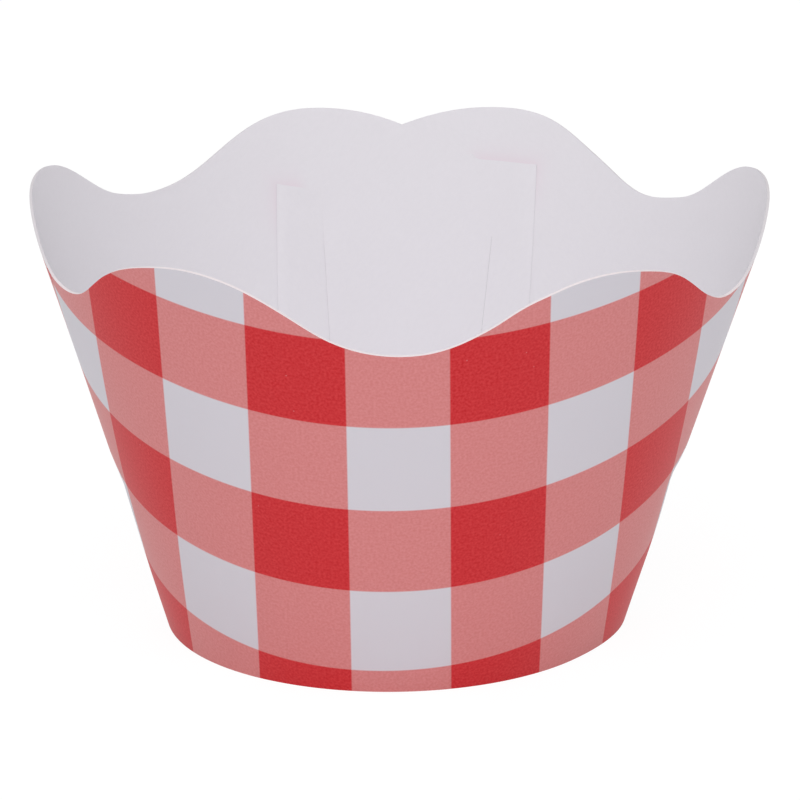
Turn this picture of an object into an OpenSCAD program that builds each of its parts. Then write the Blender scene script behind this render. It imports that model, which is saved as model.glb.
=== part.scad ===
// Cupcake wrapper: one die-cut strip of printed card, rolled into a cone without
// a base and hooked together at the back by two half slits.
// Millimetres, +Z up. The wrapper stands on its base edge, the middle of its
// bounding box on the Z axis, and its front, the middle of the strip, towards -Y.

/* [Cone] */
// outer diameter of the wrapper at its base edge
base_d = 51; // [40:0.5:70]
// angle between the wall and the cone's axis
flare_a = 17.77; // [12:0.01:22]
// lean of the cone to the right, where the strip was rolled a little askew
lean_a = 1.36; // [0:0.02:3]
// thickness of the card
card_t = 0.3; // [0.2:0.05:0.6]

/* [Scalloped rim] */
// mean length of the wall from the base edge to the rim
wall_l = 48; // [46:0.1:60]
// half the depth of a scallop
scallop_h = 4; // [1:0.1:5]

/* [Closure] */
// where the left end of the strip stops, measured past the back where the slits meet
left_end_a = 25.5; // [22:0.5:30]
// where the right end of the strip stops, measured past the back where the slits meet
right_end_a = 22.5; // [21:0.5:30]
// how many degrees further both ends reach for each millimetre down from there
end_slant = 0.17; // [0:0.01:0.25]
// where the two ends cross, measured from the back towards the left
cross_a = 14; // [10:0.5:20]
// where the spare slit of the left end is, measured past the back
spare_a = 18; // [10:0.5:20]
// how far up the wall the two half slits meet
slit_share = 0.81; // [0.78:0.002:0.84]
// how far up the wall the spare slit goes
spare_share = 0.752; // [0.3:0.002:0.76]
// width of the two slits that are hooked together
slit_w = 0.9; // [0.8:0.05:1.5]
// width of the spare slit, which stays closed
spare_w = 0.2; // [0.1:0.05:0.5]

/* [Hidden] */
base_r = base_d / 2;
// room between the two layers where the ends lap
lap_gap = 0.1;
// how far the inner layer of the lap lies inside the outer one
lap_in = card_t + lap_gap;
// room between the bottom of one half slit and the top of the other
slit_gap = 0.2;
// turn taken by one flat of the wall
flat_a = 2;
// turn taken by each slit, at the middle of the wall
mid_r = base_r + wall_l * sin(flare_a) / 2;
slit_turn = slit_w / mid_r * 180 / PI;
spare_turn = spare_w / mid_r * 180 / PI;

// heights of the cone at which the hooked slits and the spare slit end
slit_z = slit_share * wall_l * cos(flare_a);
spare_z = spare_share * wall_l * cos(flare_a);

// rim: the angle of each trough and crest along the strip, and how far it lies
// below or above the mean, in scallop_h
rim_turns = [-205, -165, -132.5, -102, -68.5, -32.5, 0, 33, 69, 102.5, 131, 161, 205];
rim_shares = [-0.95, 0.68, -1.13, 0.79, -1.03, 1.08, -0.97, 1.16, -0.85, 1.09, -0.96, 0.81, -0.97];
// how far the wave is off a plain one, halfway up and at its crests
wave_full = -0.013;
wave_round = -0.066;
// the tab at the left end is cut level, from this angle on
tab_turn = -192.5;
tab_drop = 3;
// the tongue beyond the right end's slit is cut lower, and rises towards its end
tongue_drop = 7;
tongue_rise = 1.1;

// angles along the strip, 0 at the front, minus to the left, plus to the right
left_end = -180 - left_end_a;
right_end = 180 + right_end_a;
left_cross = -180 + cross_a;
right_cross = 180 + cross_a;
spare = -180 - spare_a;

// the stretch between two neighbours of rim_turns in which an angle lies
function rim_stretch(a) =
    max([0, for (i = [1:len(rim_turns) - 2]) if (a >= rim_turns[i]) i]);

// rise from a trough, at t 0, to the crest beside it, at t 1
function half_wave(t) =
    (1 - cos(180 * t)) / 2
    + (wave_full + wave_round * cos(180 * t)) * sin(180 * t) * sin(180 * t);

function wave_l(a) =
    let (
        i = rim_stretch(a),
        t = min(1, max(0, (a - rim_turns[i]) / (rim_turns[i + 1] - rim_turns[i]))),
        low = min(rim_shares[i], rim_shares[i + 1]),
        high = max(rim_shares[i], rim_shares[i + 1]),
        share = half_wave(rim_shares[i] == low ? t : 1 - t)
    )
    wall_l + scallop_h * (low + (high - low) * share);

function tongue_l(a) =
    wall_l - tongue_drop + tongue_rise * (a - right_cross) / (right_end - right_cross);

// length of the wall from the base edge to the rim, at an angle along the strip
function rim_l(a) =
    a > right_cross ? min(wave_l(a), tongue_l(a))
    : a < tab_turn ? wall_l - tab_drop
    : wave_l(a);

function rim_z(a) = rim_l(a) * cos(flare_a);

// even steps over one stretch of the strip, without its last angle
function steps(from, to) =
    let (n = ceil((to - from) / flat_a))
    [for (i = [0:n - 1]) from + (to - from) * i / n];

stations = concat(
    steps(left_end, spare - spare_turn / 2),
    steps(spare - spare_turn / 2, spare + spare_turn / 2),
    steps(spare + spare_turn / 2, left_cross - slit_turn / 2),
    steps(left_cross - slit_turn / 2, left_cross + slit_turn / 2),
    steps(left_cross + slit_turn / 2, right_cross - slit_turn / 2),
    steps(right_cross - slit_turn / 2, right_cross + slit_turn / 2),
    steps(right_cross + slit_turn / 2, right_end),
    [right_end]
);

// how far the card lies inside the outer cone: the strip goes inwards where it
// passes through the slit of its other end
function layer_in(a) =
    a < left_cross ? lap_in * min(1, max(0, 0.5 + (left_cross - a) / slit_turn))
    : a < 0 ? lap_in * max(0, 0.5 - (a - left_cross) / slit_turn)
    : lap_in * min(1, max(0, 0.5 + (a - right_cross) / slit_turn));

// height of the base edge on the cone, which stands level once the cone leans
function base_z(a, inset) =
    let (k = tan(lean_a) * sin(a))
    (base_r - inset / cos(flare_a)) * k / (1 - k * tan(flare_a));

// heights of the rows of points at one angle, taking the base edge as 0
function row_z(a) = [0, spare_z, slit_z - slit_gap / 2, slit_z + slit_gap / 2, rim_z(a)];
ROWS = 5;
// the rows of patches: beside the spare slit, up to where the half slits meet,
// across their meeting, and from there to the rim
LOW = 0;
MEETING = 2;
HIGH = 3;

// share of the way from the last slit to the end of the strip
function end_share(a) =
    a > right_cross ? (a - right_cross) / (right_end - right_cross)
    : a < spare ? (spare - a) / (spare - left_end)
    : 0;

// angle of a column at height z, which grows downwards towards both slanting ends
function slanted(a, z) = a + sign(a) * end_share(a) * end_slant * (slit_z - z);

// point of the wall at height z of the cone, so far inside its outer face
function wall_point(a, z, inset) =
    let (r = base_r + z * tan(flare_a) - inset / cos(flare_a), x = r * sin(a))
    [x * cos(lean_a) + z * sin(lean_a), -r * cos(a), z * cos(lean_a) - x * sin(lean_a)];

wall_points = [
    for (a = stations) for (row = [0:ROWS - 1]) for (deep = [0, 1])
        let (
            inset = layer_in(a) + deep * card_t,
            level = row_z(a)[row],
            turn = slanted(a, level)
        )
        wall_point(turn, row == 0 ? base_z(turn, inset) : level, inset)
];

// middle of the wrapper's bounding box, seen from above
middle = [
    for (k = [0, 1])
        (max([for (p = wall_points) p[k]]) + min([for (p = wall_points) p[k]])) / 2
];

function in_cut(a, at, turn) = abs(a - at) < turn / 2;

// true where the card is there: both slits of the left end are open at the base,
// the slit of the right end is open at the rim
function is_card(column, row) =
    column < 0 || column > len(stations) - 2 || row < LOW || row > HIGH ? false :
    let (a = (stations[column] + stations[column + 1]) / 2)
    !(in_cut(a, left_cross, slit_turn) && row <= MEETING) &&
    !(in_cut(a, right_cross, slit_turn) && row >= MEETING) &&
    !(in_cut(a, spare, spare_turn) && row == LOW);

function id(column, row, deep) = (column * ROWS + row) * 2 + deep;

// the outer and inner face of one patch of card, and an edge face on each side
// where no card follows
function patch_faces(c, r) = concat(
    [[id(c, r, 0), id(c, r + 1, 0), id(c + 1, r + 1, 0), id(c + 1, r, 0)],
     [id(c, r, 1), id(c + 1, r, 1), id(c + 1, r + 1, 1), id(c, r + 1, 1)]],
    is_card(c - 1, r) ? [] : [[id(c, r, 0), id(c, r, 1), id(c, r + 1, 1), id(c, r + 1, 0)]],
    is_card(c + 1, r) ? [] :
        [[id(c + 1, r, 0), id(c + 1, r + 1, 0), id(c + 1, r + 1, 1), id(c + 1, r, 1)]],
    is_card(c, r - 1) ? [] : [[id(c, r, 0), id(c + 1, r, 0), id(c + 1, r, 1), id(c, r, 1)]],
    is_card(c, r + 1) ? [] :
        [[id(c, r + 1, 0), id(c, r + 1, 1), id(c + 1, r + 1, 1), id(c + 1, r + 1, 0)]]
);

// The wrapper: one strip of card, printed on its outer face.
module wrapper() {
    color("IndianRed")
    translate([-middle[0], -middle[1], 0])
    polyhedron(
        points = wall_points,
        faces = [
            for (c = [0:len(stations) - 2]) for (r = [LOW:HIGH])
                if (is_card(c, r)) each patch_faces(c, r)
        ],
        convexity = 8
    );
}

wrapper();
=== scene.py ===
import math

import bmesh
import bpy
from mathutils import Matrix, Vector


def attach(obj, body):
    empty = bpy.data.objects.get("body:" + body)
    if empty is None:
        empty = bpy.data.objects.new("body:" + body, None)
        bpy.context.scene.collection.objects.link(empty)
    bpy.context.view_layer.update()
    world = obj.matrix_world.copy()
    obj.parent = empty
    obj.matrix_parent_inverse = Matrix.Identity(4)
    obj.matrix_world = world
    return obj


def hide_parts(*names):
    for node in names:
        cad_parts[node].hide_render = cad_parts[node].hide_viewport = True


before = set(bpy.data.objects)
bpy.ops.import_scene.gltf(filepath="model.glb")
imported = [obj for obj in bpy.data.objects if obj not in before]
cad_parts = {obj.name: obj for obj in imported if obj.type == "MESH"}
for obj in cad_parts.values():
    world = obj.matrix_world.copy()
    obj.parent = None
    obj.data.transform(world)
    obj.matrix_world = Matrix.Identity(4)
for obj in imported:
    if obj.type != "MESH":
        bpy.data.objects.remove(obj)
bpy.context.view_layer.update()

# The strip of card: one coated piece, printed on one side and die cut with a scalloped
# rim, two half slits near its left end and one near its right end. It is rolled into a
# cone without a base, and held by hooking a slit of one end into the other's.

# The cone, in metres and radians. MIDDLE is where the middle of its bounding box
# lies, seen from the foot of its axis.
FLARE = math.radians(17.77)
LEAN = math.radians(1.36)
BASE_RADIUS = 0.0255
BLANK_RADIUS = BASE_RADIUS / math.sin(FLARE)
MIDDLE = Vector((0.00131336, 0.00077753, 0.0))
CARD = 0.0003
WALL = 0.0480
SCALLOP = 0.0040

# The ends: their angles along the strip in degrees, 0 at the front, and lengths up
# the wall. Both reach further round lower down, by END_SLANT degrees a metre of height.
LEFT_END = -205.5
RIGHT_END = 202.5
END_SLANT = 170.0
TAB_TURN = -192.5
TAB_TOP = 0.0450
TAB_SHOULDER = 0.0006
SHOULDER_TURN = 1.5
TONGUE_TOP = 0.0410
TONGUE_RISE = 0.0011

# The slits: the hooked ones lie where the ends cross, and meet halfway.
CROSSING = 194.0
MEETING = 0.0389
SLIT_TURN = 0.012
SPARE_SLIT = -198.0
SPARE_TOP = 0.0361
SPARE_TURN = 0.036

# The rim: the angles of its troughs and crests, and how far each lies below or above
# the mean, in SCALLOP. Between them runs a wave that is a little off a plain one.
RIM_TURNS = (-205.0, -165.0, -132.5, -102.0, -68.5, -32.5, 0.0, 33.0, 69.0, 102.5, 131.0, 161.0, 205.0)
RIM_SHARES = (-0.95, 0.68, -1.13, 0.79, -1.03, 1.055, -0.97, 1.16, -0.85, 1.09, -0.96, 0.81, -0.97)
WAVE_FULL = 0.013
WAVE_ROUND = 0.066

# Where the cut rim lies off that wave: angles along the strip, and millimetres.
MILLIMETRE = 0.001
RIM_TRIM = (
    (-128.0, 0.0), (-120.5, -0.35), (-112.0, -0.13), (-103.0, -0.22), (-88.0, 0.0),
    (-70.0, 0.0), (-60.0, -0.13), (-50.0, 0.47), (-38.0, -0.1), (-30.0, 0.0),
    (-16.5, 0.2), (-10.0, 0.01), (5.0, -0.02), (14.0, 0.09), (18.5, 0.28), (24.0, 0.0),
    (38.0, -0.1), (46.5, 0.15), (56.0, -0.14), (61.0, -0.15), (71.0, 0.12), (90.0, 0.0),
    (105.0, -0.32), (113.0, -0.14), (120.0, -0.34), (126.5, 0.03), (133.5, -0.21),
    (142.0, 0.17), (149.0, -0.07), (156.0, 0.0),
)


def smooth(value, start, stop):
    """0 up to start, 1 from stop on, and an even curve between."""
    share = min(1.0, max(0.0, (value - start) / (stop - start)))
    return share * share * (3.0 - 2.0 * share)


def rim_length(turn):
    """Length of the wall from the base circle to the scalloped rim."""
    step = max([0] + [i for i in range(1, len(RIM_TURNS) - 1) if turn >= RIM_TURNS[i]])
    before, after = RIM_SHARES[step], RIM_SHARES[step + 1]
    share = (turn - RIM_TURNS[step]) / (RIM_TURNS[step + 1] - RIM_TURNS[step])
    share = min(1.0, max(0.0, share))
    if before > after:
        share = 1.0 - share
    wave = math.cos(math.pi * share)
    rise = (1.0 - wave) / 2.0 - (WAVE_FULL + WAVE_ROUND * wave) * math.sin(math.pi * share) ** 2
    low, high = min(before, after), max(before, after)
    length = WALL + SCALLOP * (low + (high - low) * rise)
    for (left, left_trim), (right, right_trim) in zip(RIM_TRIM, RIM_TRIM[1:]):
        if left <= turn < right:
            trim = left_trim + (right_trim - left_trim) * smooth(turn, left, right)
            length += MILLIMETRE * trim
    if turn > CROSSING:
        length = min(length, TONGUE_TOP + TONGUE_RISE * (turn - CROSSING) / (RIGHT_END - CROSSING))
    if turn < TAB_TURN:
        length = TAB_TOP + TAB_SHOULDER * (1.0 - smooth(TAB_TURN - turn, 0.0, SHOULDER_TURN))
    return length


def slanted(turn, along):
    """Angle of a column at one length up the wall: both ends reach further lower down."""
    if turn > CROSSING:
        share = (turn - CROSSING) / (RIGHT_END - CROSSING)
    elif turn < SPARE_SLIT:
        share = (turn - SPARE_SLIT) / (SPARE_SLIT - LEFT_END)
    else:
        share = 0.0
    return turn + share * END_SLANT * (MEETING - along) * math.cos(FLARE)


def base_length(turn, inset):
    """Where the level base edge lies on the leaning cone's wall."""
    slope = math.tan(LEAN) * math.sin(math.radians(turn))
    height = (BASE_RADIUS - inset / math.cos(FLARE)) * slope / (1.0 - slope * math.tan(FLARE))
    return height / math.cos(FLARE)


# The lap: LAYER is how far its inner layer lies inside the outer one. The card passes
# from one to the other within PASSING_TURN on both sides of the crossing. A flap beside
# a slit lies FLAP_SHARE of a layer off the other end at the slit, and a whole one
# FLAP_TURN away. The flaps part over LOW_FLAP below and HIGH_FLAP above the meeting.
LAYER = 0.000305
PASSING_TURN = 8.0
FLAP_SHARE = 0.35
FLAP_TURN = 3.0
LOW_FLAP = 0.006
HIGH_FLAP = 0.005


def layer_inset(turn, along):
    """How far the card lies inside the outer cone where its two ends lap and cross."""
    angle = turn + 360.0 if turn < 0.0 else turn
    share = smooth(angle, CROSSING - PASSING_TURN, CROSSING + PASSING_TURN)
    before = LAYER if angle < CROSSING else -LAYER
    before *= FLAP_SHARE + (1.0 - FLAP_SHARE) * smooth(abs(angle - CROSSING), 0.0, FLAP_TURN)
    if turn < 0.0:
        whole = LAYER * (1.0 - share)
        flaps = LAYER * share + before
        mix = smooth(along, MEETING, MEETING - LOW_FLAP)
    else:
        whole = LAYER * share
        flaps = LAYER * (1.0 - share) - before
        mix = smooth(along, MEETING, MEETING + HIGH_FLAP)
    return whole + (flaps - whole) * mix


# Each cut end is pressed this far into the layer behind it, over its last degrees.
PRESSED = 0.00023
PRESSED_TURN = 1.8


def pressed_inset(turn, along):
    """How far inwards the pressed ends move the card: below zero, as it is outwards."""
    left_end = slanted(LEFT_END, along)
    right_end = slanted(RIGHT_END, along)
    left = 1.0 - smooth(turn, left_end, left_end + PRESSED_TURN)
    right = smooth(turn, right_end - PRESSED_TURN, right_end)
    return -PRESSED * (left + right)


def hump(value, middle, half):
    """1 at middle, 0 from half away on, and an even curve between."""
    return smooth(half - abs(value - middle), 0.0, half)


def tent(value, peak, above, below, sharpness):
    """1 at peak, straight or hollow slopes down to 0, one length for each side."""
    away = (value - peak) / above if value > peak else (peak - value) / below
    return max(0.0, 1.0 - away) ** sharpness


# The sides were held between two fingers: the right one swells out towards the base
# and has the deeper dent, and the left one is a little hollow.
SIDE_TURN = 86.0
SIDE_REACH = 34.0
RIGHT_SWELL = 0.00055
SWELL_TOP = 0.044
FOOT_SWELL = 0.00012
FOOT_TOP = 0.012
LEFT_HOLLOW = 0.0001
HOLLOW_TOP = 0.046
DENT_TURN = 84.0
RIGHT_DENT = 0.00066
RIGHT_DENT_REACH = 16.0
LEFT_DENT = 0.00034
LEFT_DENT_REACH = 18.0


def side_inset(turn, along):
    """How far the card is bent in where it was held, and how far it swells below that."""
    swell = -RIGHT_SWELL * max(0.0, 1.0 - along / SWELL_TOP)
    swell -= FOOT_SWELL * max(0.0, 1.0 - along / FOOT_TOP) ** 2
    dent = tent(along, peak=0.0204, above=0.0030, below=0.0124, sharpness=2.0)
    right = swell * hump(turn, SIDE_TURN, SIDE_REACH)
    right += RIGHT_DENT * dent * hump(turn, DENT_TURN, RIGHT_DENT_REACH)
    hollow = LEFT_HOLLOW * math.sin(math.pi * min(1.0, max(0.0, along / HOLLOW_TOP)))
    dent = tent(along, peak=0.0179, above=0.0036, below=0.0120, sharpness=1.2)
    left = hollow * hump(turn, -SIDE_TURN, SIDE_REACH)
    left += LEFT_DENT * dent * hump(turn, -DENT_TURN, LEFT_DENT_REACH)
    return right + left


def card_inset(turn, along):
    """How far the card lies inside the plain outer cone."""
    return layer_inset(turn, along) + pressed_inset(turn, along) + side_inset(turn, along)


# How far the printed lines stray from straight ones, in millimetres on the strip.
# Each pair goes with a power of the sine of the turn: at mid height, and what it
# gains from there to the rim.
STRAY_ACROSS = ((-0.11, -0.14), (-0.07, -0.04), (0.16, -0.18), (1.18, 0.85), (0.06, 0.23), (-1.69, -1.2))
STRAY_UP = ((0.18, 0.21), (-0.15, 0.32), (-1.32, -1.48), (0.08, -0.24), (1.94, 1.95))
PRINT_TURN = math.radians(-1.689)


def stray(turn, along, terms):
    """Distance by which a printed line strays at one place of the strip."""
    side = math.sin(math.radians(min(90.0, max(-90.0, turn))))
    rise = (along - WALL / 2.0) / (WALL / 2.0)
    parts = [(flat + gain * rise) * side ** power for power, (flat, gain) in enumerate(terms)]
    return MILLIMETRE * sum(parts)


def stretch(start, stop, pitch):
    """Evenly spaced angles from start up to stop, which is left out."""
    count = max(1, math.ceil((stop - start) / pitch))
    return [start + (stop - start) * i / count for i in range(count)]


# The columns of the mesh stop at both sides of each slit, and none is wider than
# STEP_TURN.
left_cut = CROSSING - 360.0
stops = [LEFT_END]
for slit, width in ((SPARE_SLIT, SPARE_TURN), (left_cut, SLIT_TURN), (CROSSING, SLIT_TURN)):
    stops += [slit - width / 2, slit + width / 2]
stops.append(RIGHT_END)
STEP_TURN = 0.75
turns = []
for start, stop in zip(stops, stops[1:]):
    turns += stretch(start, stop, STEP_TURN)
turns.append(RIGHT_END)

# Its rows run up to the top of the spare slit, to the meeting and to the rim.
LOW_ROWS = 30
MIDDLE_ROWS = 3
HIGH_ROWS = 12
rows = LOW_ROWS + MIDDLE_ROWS + HIGH_ROWS + 1

bpy.ops.object.select_all(action="DESELECT")
bpy.ops.mesh.primitive_grid_add(
    x_subdivisions=len(turns) - 1, y_subdivisions=rows - 1, size=2.0, calc_uvs=False)
wrapper = bpy.context.object
wrapper.name = "printed_wrapper"
mesh = wrapper.data
mesh.name = "printed_wrapper"

# The places on the flat strip: turn round the cone, length up the wall, and the
# x and y of the print that falls there.
flat_places = []
for vertex in mesh.vertices:
    column = round((vertex.co.x + 1.0) / 2.0 * (len(turns) - 1))
    row = round((vertex.co.y + 1.0) / 2.0 * (rows - 1))
    turn = turns[column]
    if row <= LOW_ROWS:
        start = base_length(slanted(turn, 0.0), card_inset(slanted(turn, 0.0), 0.0))
        along = start + (SPARE_TOP - start) * row / LOW_ROWS
    elif row <= LOW_ROWS + MIDDLE_ROWS:
        along = SPARE_TOP + (MEETING - SPARE_TOP) * (row - LOW_ROWS) / MIDDLE_ROWS
    else:
        along = MEETING + (rim_length(turn) - MEETING) * (row - LOW_ROWS - MIDDLE_ROWS) / HIGH_ROWS
    turn = slanted(turn, along)
    spread = math.radians(turn) * math.sin(FLARE)
    reach = BLANK_RADIUS + along
    across = stray(turn, along, STRAY_ACROSS)
    up = stray(turn, along, STRAY_UP)
    flat_places.append((
        turn,
        along,
        reach * math.sin(spread) + across * math.cos(PRINT_TURN) + up * math.sin(PRINT_TURN),
        reach * math.cos(spread) - across * math.sin(PRINT_TURN) + up * math.cos(PRINT_TURN),
    ))

# The flat strip keeps its own measures in a UV map, which the print follows. One
# unit of the map is 100 mm.
MAP_SCALE = 10.0
flat_map = mesh.uv_layers.new(name="flat_strip")
for loop in mesh.loops:
    place = flat_places[loop.vertex_index]
    flat_map.data[loop.index].uv = (place[2] * MAP_SCALE, place[3] * MAP_SCALE)

# Painted reflected light: just outside the tab and the tongue, the bare side is tinted
# pink for the light that the print of the end lying on it throws back. It fades
# outwards, and down both ends. LAP_RADIUS is the cone's radius there, and the last
# value is how far up the painted pink beside the tongue is full.
PAINTED_BOUNCE_REACH = 0.0009
LAP_RADIUS = 0.038
TONGUE_PAINTED_BOUNCE = 0.0418
painted_bounce_map = mesh.attributes.new(name="painted_bounce", type="FLOAT", domain="POINT")
for index, place in enumerate(flat_places):
    turn, along = place[:2]
    if turn > 0.0:
        beside = math.radians(slanted(LEFT_END, along) + 360.0 - turn) * LAP_RADIUS
        above = along - TAB_TOP
        near = smooth(along, start=0.038, stop=0.045) * smooth(turn, start=169.0, stop=165.0)
    else:
        beside = math.radians(turn + 360.0 - slanted(RIGHT_END, along)) * LAP_RADIUS
        above = along - TONGUE_PAINTED_BOUNCE
        near = smooth(along, start=0.034, stop=0.040) * smooth(turn + 360.0, start=196.0, stop=199.0)
    away = max(0.0, beside, above)
    painted_bounce_map.data[index].value = near * math.exp(-away / PAINTED_BOUNCE_REACH)

# Painted shade: the cut edge is darker round the sides and in the lap than at the front.
SIDE_PAINTED_SHADE = 0.75
painted_shade_map = mesh.attributes.new(name="painted_edge_shade", type="FLOAT", domain="POINT")
for index, place in enumerate(flat_places):
    turn = place[0]
    beyond = turn - CROSSING if turn > 0.0 else left_cut - turn
    lap_shade = smooth(beyond, start=0.0, stop=1.0)
    side_shade = SIDE_PAINTED_SHADE * smooth(abs(turn), start=68.0, stop=80.0)
    painted_shade_map.data[index].value = max(lap_shade, side_shade)

# The strip is rolled up, and the cone leans to the right.
for vertex in mesh.vertices:
    turn, along = flat_places[vertex.index][:2]
    inset = card_inset(turn, along)
    height = along * math.cos(FLARE)
    radius = BASE_RADIUS + along * math.sin(FLARE) - inset / math.cos(FLARE)
    across = radius * math.sin(math.radians(turn))
    depth = -radius * math.cos(math.radians(turn))
    vertex.co = Vector((
        across * math.cos(LEAN) + height * math.sin(LEAN),
        depth,
        height * math.cos(LEAN) - across * math.sin(LEAN),
    )) - MIDDLE
mesh.update()

# The slits are cut into the strip, one column of faces wide.
bpy.ops.object.mode_set(mode="EDIT")
edit = bmesh.from_edit_mesh(mesh)
edit.faces.ensure_lookup_table()
for face in edit.faces:
    corners = [flat_places[v.index] for v in face.verts]
    turn = sum(c[0] for c in corners) / 4.0
    along = sum(c[1] for c in corners) / 4.0
    left_slit = abs(turn - left_cut) < SLIT_TURN / 2 and along < MEETING
    right_slit = abs(turn - CROSSING) < SLIT_TURN / 2 and along > MEETING
    spare_slit = abs(turn - SPARE_SLIT) < SPARE_TURN / 2 and along < SPARE_TOP
    face.select = left_slit or right_slit or spare_slit
bmesh.update_edit_mesh(mesh)
bpy.ops.mesh.delete(type="FACE")
bpy.ops.mesh.select_all(action="SELECT")
bpy.ops.mesh.normals_make_consistent(inside=False)
bpy.ops.object.mode_set(mode="OBJECT")


# CHECK_START is a point of it on the flat strip, and INK_EDGE is how soft its edges
# are, in checks. Each ink has a tone where it lies thick and one where it lies thin.
CHECK = 0.010815
CHECK_START = (0.003718, 0.075612)
INK_EDGE = 0.008
WHITE_FIELD = (0.736, 0.712, 0.770, 1.0)
PINK_THICK = (0.712, 0.219, 0.218, 1.0)
PINK_THIN = (0.776, 0.281, 0.278, 1.0)
RED_THICK = (0.612, 0.003, 0.010, 1.0)
RED_THIN = (0.712, 0.034, 0.040, 1.0)
SPECK_TONE = (0.738, 0.400, 0.420, 1.0)


def make_print():
    """Satin coated side with the gingham check, from the strip's own flat measures."""
    material = bpy.data.materials.new("gingham_print")
    material.use_nodes = True
    nodes = material.node_tree.nodes
    links = material.node_tree.links
    nodes.clear()
    out = nodes.new("ShaderNodeOutputMaterial")
    shader = nodes.new("ShaderNodeBsdfPrincipled")
    links.new(shader.outputs["BSDF"], out.inputs["Surface"])
    shader.inputs["Roughness"].default_value = 0.5
    shader.inputs["IOR"].default_value = 1.5
    shader.inputs["Specular IOR Level"].default_value = 0.35

    flat = nodes.new("ShaderNodeUVMap")
    flat.uv_map = "flat_strip"

    # One unit here is one check.
    map_check = CHECK * MAP_SCALE
    place = nodes.new("ShaderNodeMapping")
    place.vector_type = "POINT"
    place.inputs["Scale"].default_value = (1.0 / map_check, 1.0 / map_check, 1.0)
    place.inputs["Rotation"].default_value = (0.0, 0.0, PRINT_TURN)
    place.inputs["Location"].default_value = (-CHECK_START[0] / CHECK, -CHECK_START[1] / CHECK, 0.0)
    links.new(flat.outputs["UV"], place.inputs["Vector"])
    split = nodes.new("ShaderNodeSeparateXYZ")
    links.new(place.outputs["Vector"], split.inputs["Vector"])

    def stripe(value, offset):
        """1 on every other check, with an edge as soft as the ink's own."""
        shift = nodes.new("ShaderNodeMath")
        shift.operation = "ADD"
        shift.inputs[1].default_value = offset
        links.new(value, shift.inputs[0])
        fold = nodes.new("ShaderNodeMath")
        fold.operation = "PINGPONG"
        fold.inputs[1].default_value = 1.0
        links.new(shift.outputs[0], fold.inputs[0])
        edge = nodes.new("ShaderNodeMapRange")
        edge.interpolation_type = "SMOOTHSTEP"
        edge.inputs["From Min"].default_value = 0.5 - INK_EDGE
        edge.inputs["From Max"].default_value = 0.5 + INK_EDGE
        links.new(fold.outputs[0], edge.inputs["Value"])
        return edge.outputs["Result"]

    columns = stripe(split.outputs["X"], 0.0)
    bands = stripe(split.outputs["Y"], 0.5)
    both = nodes.new("ShaderNodeMath")
    both.operation = "MULTIPLY"
    links.new(columns, both.inputs[0])
    links.new(bands, both.inputs[1])
    either = nodes.new("ShaderNodeMath")
    either.operation = "MAXIMUM"
    links.new(columns, either.inputs[0])
    links.new(bands, either.inputs[1])

    # Ink lies unevenly at about 0.3 mm, which bare white fields do not show.
    grain = nodes.new("ShaderNodeTexNoise")
    grain.inputs["Scale"].default_value = 38.0
    grain.inputs["Detail"].default_value = 1.0
    links.new(place.outputs["Vector"], grain.inputs["Vector"])
    cover = nodes.new("ShaderNodeMapRange")
    cover.inputs["From Min"].default_value = 0.3
    cover.inputs["From Max"].default_value = 0.7
    links.new(grain.outputs["Fac"], cover.inputs["Value"])

    def ink(thick, thin):
        """One ink, from where it lies thick to where it lies thin."""
        mix = nodes.new("ShaderNodeMix")
        mix.data_type = "RGBA"
        mix.inputs["A"].default_value = thick
        mix.inputs["B"].default_value = thin
        links.new(cover.outputs["Result"], mix.inputs["Factor"])
        return mix.outputs["Result"]

    pink = nodes.new("ShaderNodeMix")
    pink.data_type = "RGBA"
    pink.inputs["A"].default_value = WHITE_FIELD
    links.new(either.outputs[0], pink.inputs["Factor"])
    links.new(ink(PINK_THICK, PINK_THIN), pink.inputs["B"])
    red = nodes.new("ShaderNodeMix")
    red.data_type = "RGBA"
    links.new(both.outputs[0], red.inputs["Factor"])
    links.new(pink.outputs["Result"], red.inputs["A"])
    links.new(ink(RED_THICK, RED_THIN), red.inputs["B"])

    # Here and there a speck of the card shows through the ink.
    dots = nodes.new("ShaderNodeTexVoronoi")
    dots.inputs["Scale"].default_value = 5.0
    links.new(place.outputs["Vector"], dots.inputs["Vector"])
    speck = nodes.new("ShaderNodeMapRange")
    speck.interpolation_type = "SMOOTHSTEP"
    speck.inputs["From Min"].default_value = 0.045
    speck.inputs["From Max"].default_value = 0.025
    speck.inputs["To Max"].default_value = 0.35
    links.new(dots.outputs["Distance"], speck.inputs["Value"])
    pale = nodes.new("ShaderNodeMix")
    pale.data_type = "RGBA"
    pale.inputs["B"].default_value = SPECK_TONE
    links.new(speck.outputs["Result"], pale.inputs["Factor"])
    links.new(red.outputs["Result"], pale.inputs["A"])
    inked = nodes.new("ShaderNodeMix")
    inked.data_type = "RGBA"
    links.new(either.outputs[0], inked.inputs["Factor"])
    links.new(red.outputs["Result"], inked.inputs["A"])
    links.new(pale.outputs["Result"], inked.inputs["B"])
    links.new(inked.outputs["Result"], shader.inputs["Base Color"])

    # The coating is nearly flat, with a very fine tooth.
    tooth = nodes.new("ShaderNodeTexNoise")
    tooth.inputs["Scale"].default_value = 38.0
    tooth.inputs["Detail"].default_value = 3.0
    links.new(place.outputs["Vector"], tooth.inputs["Vector"])
    bump = nodes.new("ShaderNodeBump")
    bump.inputs["Strength"].default_value = 0.12
    bump.inputs["Distance"].default_value = 0.00002
    links.new(tooth.outputs["Fac"], bump.inputs["Height"])
    links.new(bump.outputs["Normal"], shader.inputs["Normal"])
    return material


# The bare side is white with a trace of blue, and the painted reflected light on it is a little warmer.
BARE_DARK = (0.848, 0.822, 0.862, 1.0)
BARE_LIGHT = (0.882, 0.857, 0.894, 1.0)
PAINTED_BOUNCE_TONE = (0.860, 0.782, 0.838, 1.0)


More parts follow.
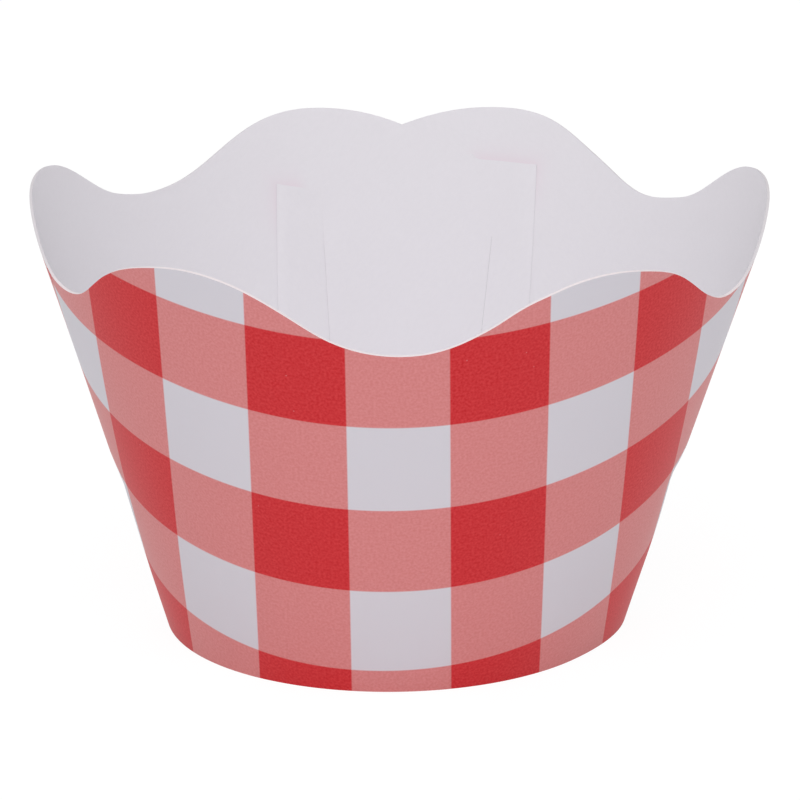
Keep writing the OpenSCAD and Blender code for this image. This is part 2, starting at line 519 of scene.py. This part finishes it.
def make_bare():
    """Uncoated inner side of the card, with a soft fibrous surface."""
    material = bpy.data.materials.new("bare_card")
    material.use_nodes = True
    nodes = material.node_tree.nodes
    links = material.node_tree.links
    shader = nodes["Principled BSDF"]
    shader.inputs["Roughness"].default_value = 0.85
    shader.inputs["IOR"].default_value = 1.45
    shader.inputs["Specular IOR Level"].default_value = 0.3
    flat = nodes.new("ShaderNodeUVMap")
    flat.uv_map = "flat_strip"
    fibres = nodes.new("ShaderNodeMapping")
    fibres.inputs["Scale"].default_value = (140.0, 230.0, 1.0)
    links.new(flat.outputs["UV"], fibres.inputs["Vector"])
    felt = nodes.new("ShaderNodeTexNoise")
    felt.inputs["Scale"].default_value = 1.0
    felt.inputs["Detail"].default_value = 4.0
    felt.inputs["Distortion"].default_value = 0.6
    links.new(fibres.outputs["Vector"], felt.inputs["Vector"])
    tone = nodes.new("ShaderNodeMix")
    tone.data_type = "RGBA"
    tone.inputs["A"].default_value = BARE_DARK
    tone.inputs["B"].default_value = BARE_LIGHT
    links.new(felt.outputs["Fac"], tone.inputs["Factor"])
    # Painted reflected light: a pink tint beside the ends of the lap, from the point attribute.
    painted_bounce = nodes.new("ShaderNodeAttribute")
    painted_bounce.attribute_name = "painted_bounce"
    bounce_tint = nodes.new("ShaderNodeMix")
    bounce_tint.data_type = "RGBA"
    bounce_tint.inputs["B"].default_value = PAINTED_BOUNCE_TONE
    links.new(painted_bounce.outputs["Fac"], bounce_tint.inputs["Factor"])
    links.new(tone.outputs["Result"], bounce_tint.inputs["A"])
    links.new(bounce_tint.outputs["Result"], shader.inputs["Base Color"])
    bump = nodes.new("ShaderNodeBump")
    bump.inputs["Strength"].default_value = 0.25
    bump.inputs["Distance"].default_value = 0.00003
    links.new(felt.outputs["Fac"], bump.inputs["Height"])
    links.new(bump.outputs["Normal"], shader.inputs["Normal"])
    return material


# The cut edge, from its darker to its lighter plies, and the painted shade it takes round the sides and
# in the lap.
EDGE_DARK = (0.84, 0.77, 0.79, 1.0)
EDGE_LIGHT = (0.92, 0.84, 0.86, 1.0)
EDGE_PAINTED_SHADE = (0.68, 0.66, 0.69, 1.0)


def make_edge():
    """The cut edge, where the card's plies show."""
    material = bpy.data.materials.new("cut_edge")
    material.use_nodes = True
    nodes = material.node_tree.nodes
    links = material.node_tree.links
    shader = nodes["Principled BSDF"]
    shader.inputs["Roughness"].default_value = 0.95
    shader.inputs["Specular IOR Level"].default_value = 0.2
    body = nodes.new("ShaderNodeTexCoord")
    plies = nodes.new("ShaderNodeTexNoise")
    plies.inputs["Scale"].default_value = 4000.0
    plies.inputs["Detail"].default_value = 2.0
    links.new(body.outputs["Object"], plies.inputs["Vector"])
    tone = nodes.new("ShaderNodeMix")
    tone.data_type = "RGBA"
    tone.inputs["A"].default_value = EDGE_DARK
    tone.inputs["B"].default_value = EDGE_LIGHT
    links.new(plies.outputs["Fac"], tone.inputs["Factor"])
    # Painted shade: the edge is darker round the sides and in the lap.
    painted_edge_shade = nodes.new("ShaderNodeAttribute")
    painted_edge_shade.attribute_name = "painted_edge_shade"
    shade = nodes.new("ShaderNodeMix")
    shade.data_type = "RGBA"
    shade.inputs["B"].default_value = EDGE_PAINTED_SHADE
    links.new(painted_edge_shade.outputs["Fac"], shade.inputs["Factor"])
    links.new(tone.outputs["Result"], shade.inputs["A"])
    links.new(shade.outputs["Result"], shader.inputs["Base Color"])
    return material


mesh.materials.append(make_print())
mesh.materials.append(make_bare())
mesh.materials.append(make_edge())

body = wrapper.modifiers.new("card", "SOLIDIFY")
body.thickness = CARD
body.offset = -1.0
body.use_even_offset = False
body.material_offset = 1
body.material_offset_rim = 2
bpy.ops.object.modifier_apply(modifier="card")
bpy.ops.object.shade_smooth_by_angle(angle=math.radians(30.0))

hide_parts("wrapper")
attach(wrapper, "root")

# The table: a plain white studio surface on which the wrapper stands. It is part of
# the studio and not of the object.
bpy.ops.object.select_all(action="DESELECT")
bpy.ops.mesh.primitive_plane_add(size=6.0, location=(0.0, 0.0, 0.0))
table = bpy.context.object
table.name = "studio_table"
table_paint = bpy.data.materials.new("studio_white")
table_paint.use_nodes = True
nodes = table_paint.node_tree.nodes
links = table_paint.node_tree.links
nodes.clear()
out = nodes.new("ShaderNodeOutputMaterial")
matte = nodes.new("ShaderNodeBsdfDiffuse")
matte.inputs["Color"].default_value = (0.90, 0.90, 0.91, 1.0)
glow = nodes.new("ShaderNodeEmission")
glow.inputs["Color"].default_value = (1.0, 1.0, 1.0, 1.0)
glow.inputs["Strength"].default_value = 1.05
sight = nodes.new("ShaderNodeLightPath")
seen = nodes.new("ShaderNodeMath")
seen.operation = "MAXIMUM"
links.new(sight.outputs["Is Camera Ray"], seen.inputs[0])
links.new(sight.outputs["Is Glossy Ray"], seen.inputs[1])
part = nodes.new("ShaderNodeMath")
part.operation = "MULTIPLY"
part.inputs[1].default_value = 0.9
links.new(seen.outputs[0], part.inputs[0])
blend = nodes.new("ShaderNodeMixShader")
links.new(part.outputs[0], blend.inputs["Fac"])
links.new(matte.outputs["BSDF"], blend.inputs[1])
links.new(glow.outputs["Emission"], blend.inputs[2])
links.new(blend.outputs["Shader"], out.inputs["Surface"])
table.data.materials.append(table_paint)

# The studio: white all around for the camera, and a soft even light on the object
# from the surroundings and three square boxes.
world = bpy.data.worlds.new("studio")
bpy.context.scene.world = world
world.use_nodes = True
nodes = world.node_tree.nodes
links = world.node_tree.links
nodes.clear()
out = nodes.new("ShaderNodeOutputWorld")
soft = nodes.new("ShaderNodeBackground")
soft.inputs["Color"].default_value = (1.0, 1.0, 1.0, 1.0)
soft.inputs["Strength"].default_value = 0.495
white = nodes.new("ShaderNodeBackground")
white.inputs["Color"].default_value = (1.0, 1.0, 1.0, 1.0)
white.inputs["Strength"].default_value = 1.0
sight = nodes.new("ShaderNodeLightPath")
blend = nodes.new("ShaderNodeMixShader")
links.new(sight.outputs["Is Camera Ray"], blend.inputs["Fac"])
links.new(soft.outputs["Background"], blend.inputs[1])
links.new(white.outputs["Background"], blend.inputs[2])
links.new(blend.outputs["Shader"], out.inputs["Surface"])


def soft_box(name, place, aim, size, watts):
    """A square soft box at place, turned towards aim."""
    lamp = bpy.data.lights.new(name, "AREA")
    lamp.shape = "SQUARE"
    lamp.size = size
    lamp.energy = watts
    holder = bpy.data.objects.new(name, lamp)
    bpy.context.scene.collection.objects.link(holder)
    holder.location = place
    way = Vector(aim) - Vector(place)
    holder.rotation_euler = way.to_track_quat("-Z", "Y").to_euler()


soft_box("overhead_box", (-0.06, -0.1, 0.9), (0.0, 0.0, 0.03), 0.9, 1.88)
soft_box("front_box", (-0.05, -0.62, 0.75), (0.0, 0.0, 0.03), 0.6, 2.4)
soft_box("low_box", (0.12, -0.9, 0.12), (0.0, 0.0, 0.03), 0.6, 0.66)

# The camera, as in the photograph: a long lens in front, looking down a little over
# the rim.
lens = bpy.data.cameras.new("photo_view")
lens.sensor_width = 36.0
lens.lens = 218.95
lens.clip_start = 0.01
lens.clip_end = 20.0
camera = bpy.data.objects.new("photo_view", lens)
bpy.context.scene.collection.objects.link(camera)
camera.location = (0.00318356, -0.51735992, 0.18941645)
camera.rotation_euler = (math.radians(72.3402), math.radians(0.51124), math.radians(0.20835))
bpy.context.scene.camera = camera
bpy.context.scene.view_settings.view_transform = "Standard"
